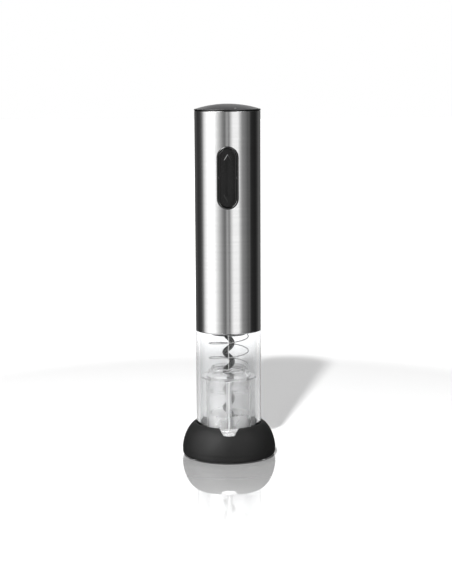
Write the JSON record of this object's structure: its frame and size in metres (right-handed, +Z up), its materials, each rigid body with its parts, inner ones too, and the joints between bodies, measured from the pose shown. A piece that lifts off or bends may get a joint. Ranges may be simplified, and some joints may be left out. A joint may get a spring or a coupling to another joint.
{
  "type": "electric wine opener",
  "caption": "Upright cordless corkscrew: brushed steel grip with a rocker button and screw cap, clear housing with spring-loaded neck guide, standing in a black foil-cutter base.",
  "frame": {"origin": "on the resting plane, at the centre of the stand", "axes": "+Z up along the corkscrew's axis, front with the button towards -Y"},
  "size_m": [0.0716, 0.0716, 0.2698],
  "materials": {
    "brushed_steel": "fine horizontal brushing",
    "clear_plastic": "clear, polished",
    "frosted_plastic": "clear, slightly frosted",
    "gloss_black": "gloss",
    "satin_black": "satin",
    "soft_black": "soft matte",
    "coated_steel": "black non-stick coating",
    "spring_steel": "drawn wire",
    "cutter_steel": "ground",
    "screw_steel": "zinc plated",
    "rubber": "matte",
    "inner_plastic": "moulded",
    "gear_plastic": "natural acetal",
    "pressed_steel": "pressed and plated",
    "brass": "turned",
    "copper": "turned copper",
    "ferrite": "sintered ferrite",
    "lamination": "lacquered laminations",
    "circuit_board": "solder mask",
    "wire_cover": "wire insulation",
    "cell_wrap": "printed-free shrink wrap"
  },
  "bodies": {
    "stand": {"stand_shell": "soft_black", "stand_base": "inner_plastic", "stand_foot_ring": "rubber", "stand_screws": "screw_steel", "cutter_carrier": "inner_plastic", "cutter_pins": "screw_steel"},
    "wheel_1": {"cutter_wheel_1": "cutter_steel"},
    "wheel_2": {"cutter_wheel_2": "cutter_steel"},
    "wheel_3": {"cutter_wheel_3": "cutter_steel"},
    "wheel_4": {"cutter_wheel_4": "cutter_steel"},
    "opener": {"clear_housing": "clear_plastic", "steel_sleeve": "brushed_steel", "chassis_front": "inner_plastic", "chassis_rear": "inner_plastic", "chassis_screws": "screw_steel", "nose_plate": "gloss_black", "nose_screws": "screw_steel", "spindle_bush": "brass", "ring_gear": "gear_plastic", "motor_plate": "pressed_steel", "gearbox_screws": "screw_steel", "motor_can": "pressed_steel", "motor_endcap": "gear_plastic", "motor_bushes": "brass", "motor_magnets": "ferrite", "motor_brushes": "copper", "motor_leads": "wire_cover", "battery_tray": "inner_plastic", "battery_cell_1": "cell_wrap", "battery_cell_2": "cell_wrap", "battery_cell_3": "cell_wrap", "battery_cell_4": "cell_wrap", "lower_contacts": "spring_steel", "button_bezel": "gloss_black", "button_pin": "screw_steel", "switch_board": "circuit_board", "tact_switches": "inner_plastic", "cap_collar": "satin_black"},
    "rocker": {"rocker_button": "gloss_black"},
    "rotor": {"rotor_shaft": "screw_steel", "armature": "lamination", "commutator": "copper", "motor_pinion": "brass"},
    "carrier": {"planet_carrier": "pressed_steel"},
    "upper_gear_1": {"upper_planet_1": "gear_plastic"},
    "upper_gear_2": {"upper_planet_2": "gear_plastic"},
    "upper_gear_3": {"upper_planet_3": "gear_plastic"},
    "worm_drive": {"spindle": "pressed_steel", "corkscrew_worm": "coated_steel"},
    "lower_gear_1": {"lower_planet_1": "gear_plastic"},
    "lower_gear_2": {"lower_planet_2": "gear_plastic"},
    "lower_gear_3": {"lower_planet_3": "gear_plastic"},
    "guide": {"neck_guide": "frosted_plastic", "guide_collar": "frosted_plastic", "guide_spring": "spring_steel"},
    "cap_contacts": {"contact_plate": "inner_plastic", "top_contacts": "spring_steel", "cap_rivet": "screw_steel"},
    "cap": {"top_cap": "satin_black", "cap_seal": "rubber"}
  },
  "joints": [
    {"name": "wheel_1_spin", "type": "hinge", "parent": "stand", "child": "wheel_1", "pos_m": [0.0181, 0, 0.0057], "axis": [0, 0, 1], "continuous": true},
    {"name": "wheel_2_spin", "type": "hinge", "parent": "stand", "child": "wheel_2", "pos_m": [0, 0.0181, 0.0057], "axis": [0, 0, 1], "continuous": true},
    {"name": "wheel_3_spin", "type": "hinge", "parent": "stand", "child": "wheel_3", "pos_m": [-0.0181, 0, 0.0057], "axis": [0, 0, 1], "continuous": true},
    {"name": "wheel_4_spin", "type": "hinge", "parent": "stand", "child": "wheel_4", "pos_m": [0, -0.0181, 0.0057], "axis": [0, 0, 1], "continuous": true},
    {"name": "lift_off", "type": "slide", "parent": "stand", "child": "opener", "axis": [0, 0, 1], "range_m": [0, 0.06]},
    {"name": "button_rock", "type": "hinge", "parent": "opener", "child": "rocker", "pos_m": [0, -0.0212, 0.2157], "axis": [1, 0, 0], "range_deg": [-2.2, 2.2], "stiffness_Nm_per_rad": 1.2},
    {"name": "motor_spin", "type": "hinge", "parent": "opener", "child": "rotor", "pos_m": [0, 0, 0.158], "axis": [0, 0, 1], "continuous": true},
    {"name": "carrier_spin", "type": "hinge", "parent": "opener", "child": "carrier", "pos_m": [0, 0, 0.127], "axis": [0, 0, 1], "continuous": true},
    {"name": "spindle_spin", "type": "hinge", "parent": "opener", "child": "worm_drive", "pos_m": [0, 0, 0.1], "axis": [0, 0, 1], "continuous": true},
    {"name": "upper_gear_1_spin", "type": "hinge", "parent": "carrier", "child": "upper_gear_1", "pos_m": [0, 0.0105, 0.133], "axis": [0, 0, 1], "continuous": true},
    {"name": "upper_gear_2_spin", "type": "hinge", "parent": "carrier", "child": "upper_gear_2", "pos_m": [-0.00909, -0.00525, 0.133], "axis": [0, 0, 1], "continuous": true},
    {"name": "upper_gear_3_spin", "type": "hinge", "parent": "carrier", "child": "upper_gear_3", "pos_m": [0.00909, -0.00525, 0.133], "axis": [0, 0, 1], "continuous": true},
    {"name": "lower_gear_1_spin", "type": "hinge", "parent": "worm_drive", "child": "lower_gear_1", "pos_m": [0, 0.0105, 0.1196], "axis": [0, 0, 1], "continuous": true},
    {"name": "lower_gear_2_spin", "type": "hinge", "parent": "worm_drive", "child": "lower_gear_2", "pos_m": [-0.00909, -0.00525, 0.1196], "axis": [0, 0, 1], "continuous": true},
    {"name": "lower_gear_3_spin", "type": "hinge", "parent": "worm_drive", "child": "lower_gear_3", "pos_m": [0.00909, -0.00525, 0.1196], "axis": [0, 0, 1], "continuous": true},
    {"name": "guide_slide", "type": "slide", "parent": "opener", "child": "guide", "axis": [0, 0, 1], "range_m": [0, 0.022], "stiffness_N_per_m": 120, "springref_m": -0.012, "deforming": ["guide_spring"]},
    {"name": "cap_rise", "type": "slide", "parent": "opener", "child": "cap_contacts", "axis": [0, 0, 1], "range_m": [0, 0.012]},
    {"name": "cap_twist", "type": "hinge", "parent": "cap_contacts", "child": "cap", "pos_m": [0, 0, 0.26], "axis": [0, 0, 1], "range_deg": [0, 180]}
  ],
  "couplings": [
    {"joint": "cap_rise", "follows": "cap_twist", "m_per_rad": 0.0038197},
    {"joint": "carrier_spin", "follows": "motor_spin", "ratio": 0.2},
    {"joint": "spindle_spin", "follows": "motor_spin", "ratio": 0.04},
    {"joint": "upper_gear_1_spin", "follows": "motor_spin", "ratio": -0.53333},
    {"joint": "lower_gear_1_spin", "follows": "motor_spin", "ratio": -0.10667},
    {"joint": "upper_gear_2_spin", "follows": "motor_spin", "ratio": -0.53333},
    {"joint": "lower_gear_2_spin", "follows": "motor_spin", "ratio": -0.10667},
    {"joint": "upper_gear_3_spin", "follows": "motor_spin", "ratio": -0.53333},
    {"joint": "lower_gear_3_spin", "follows": "motor_spin", "ratio": -0.10667}
  ]
}
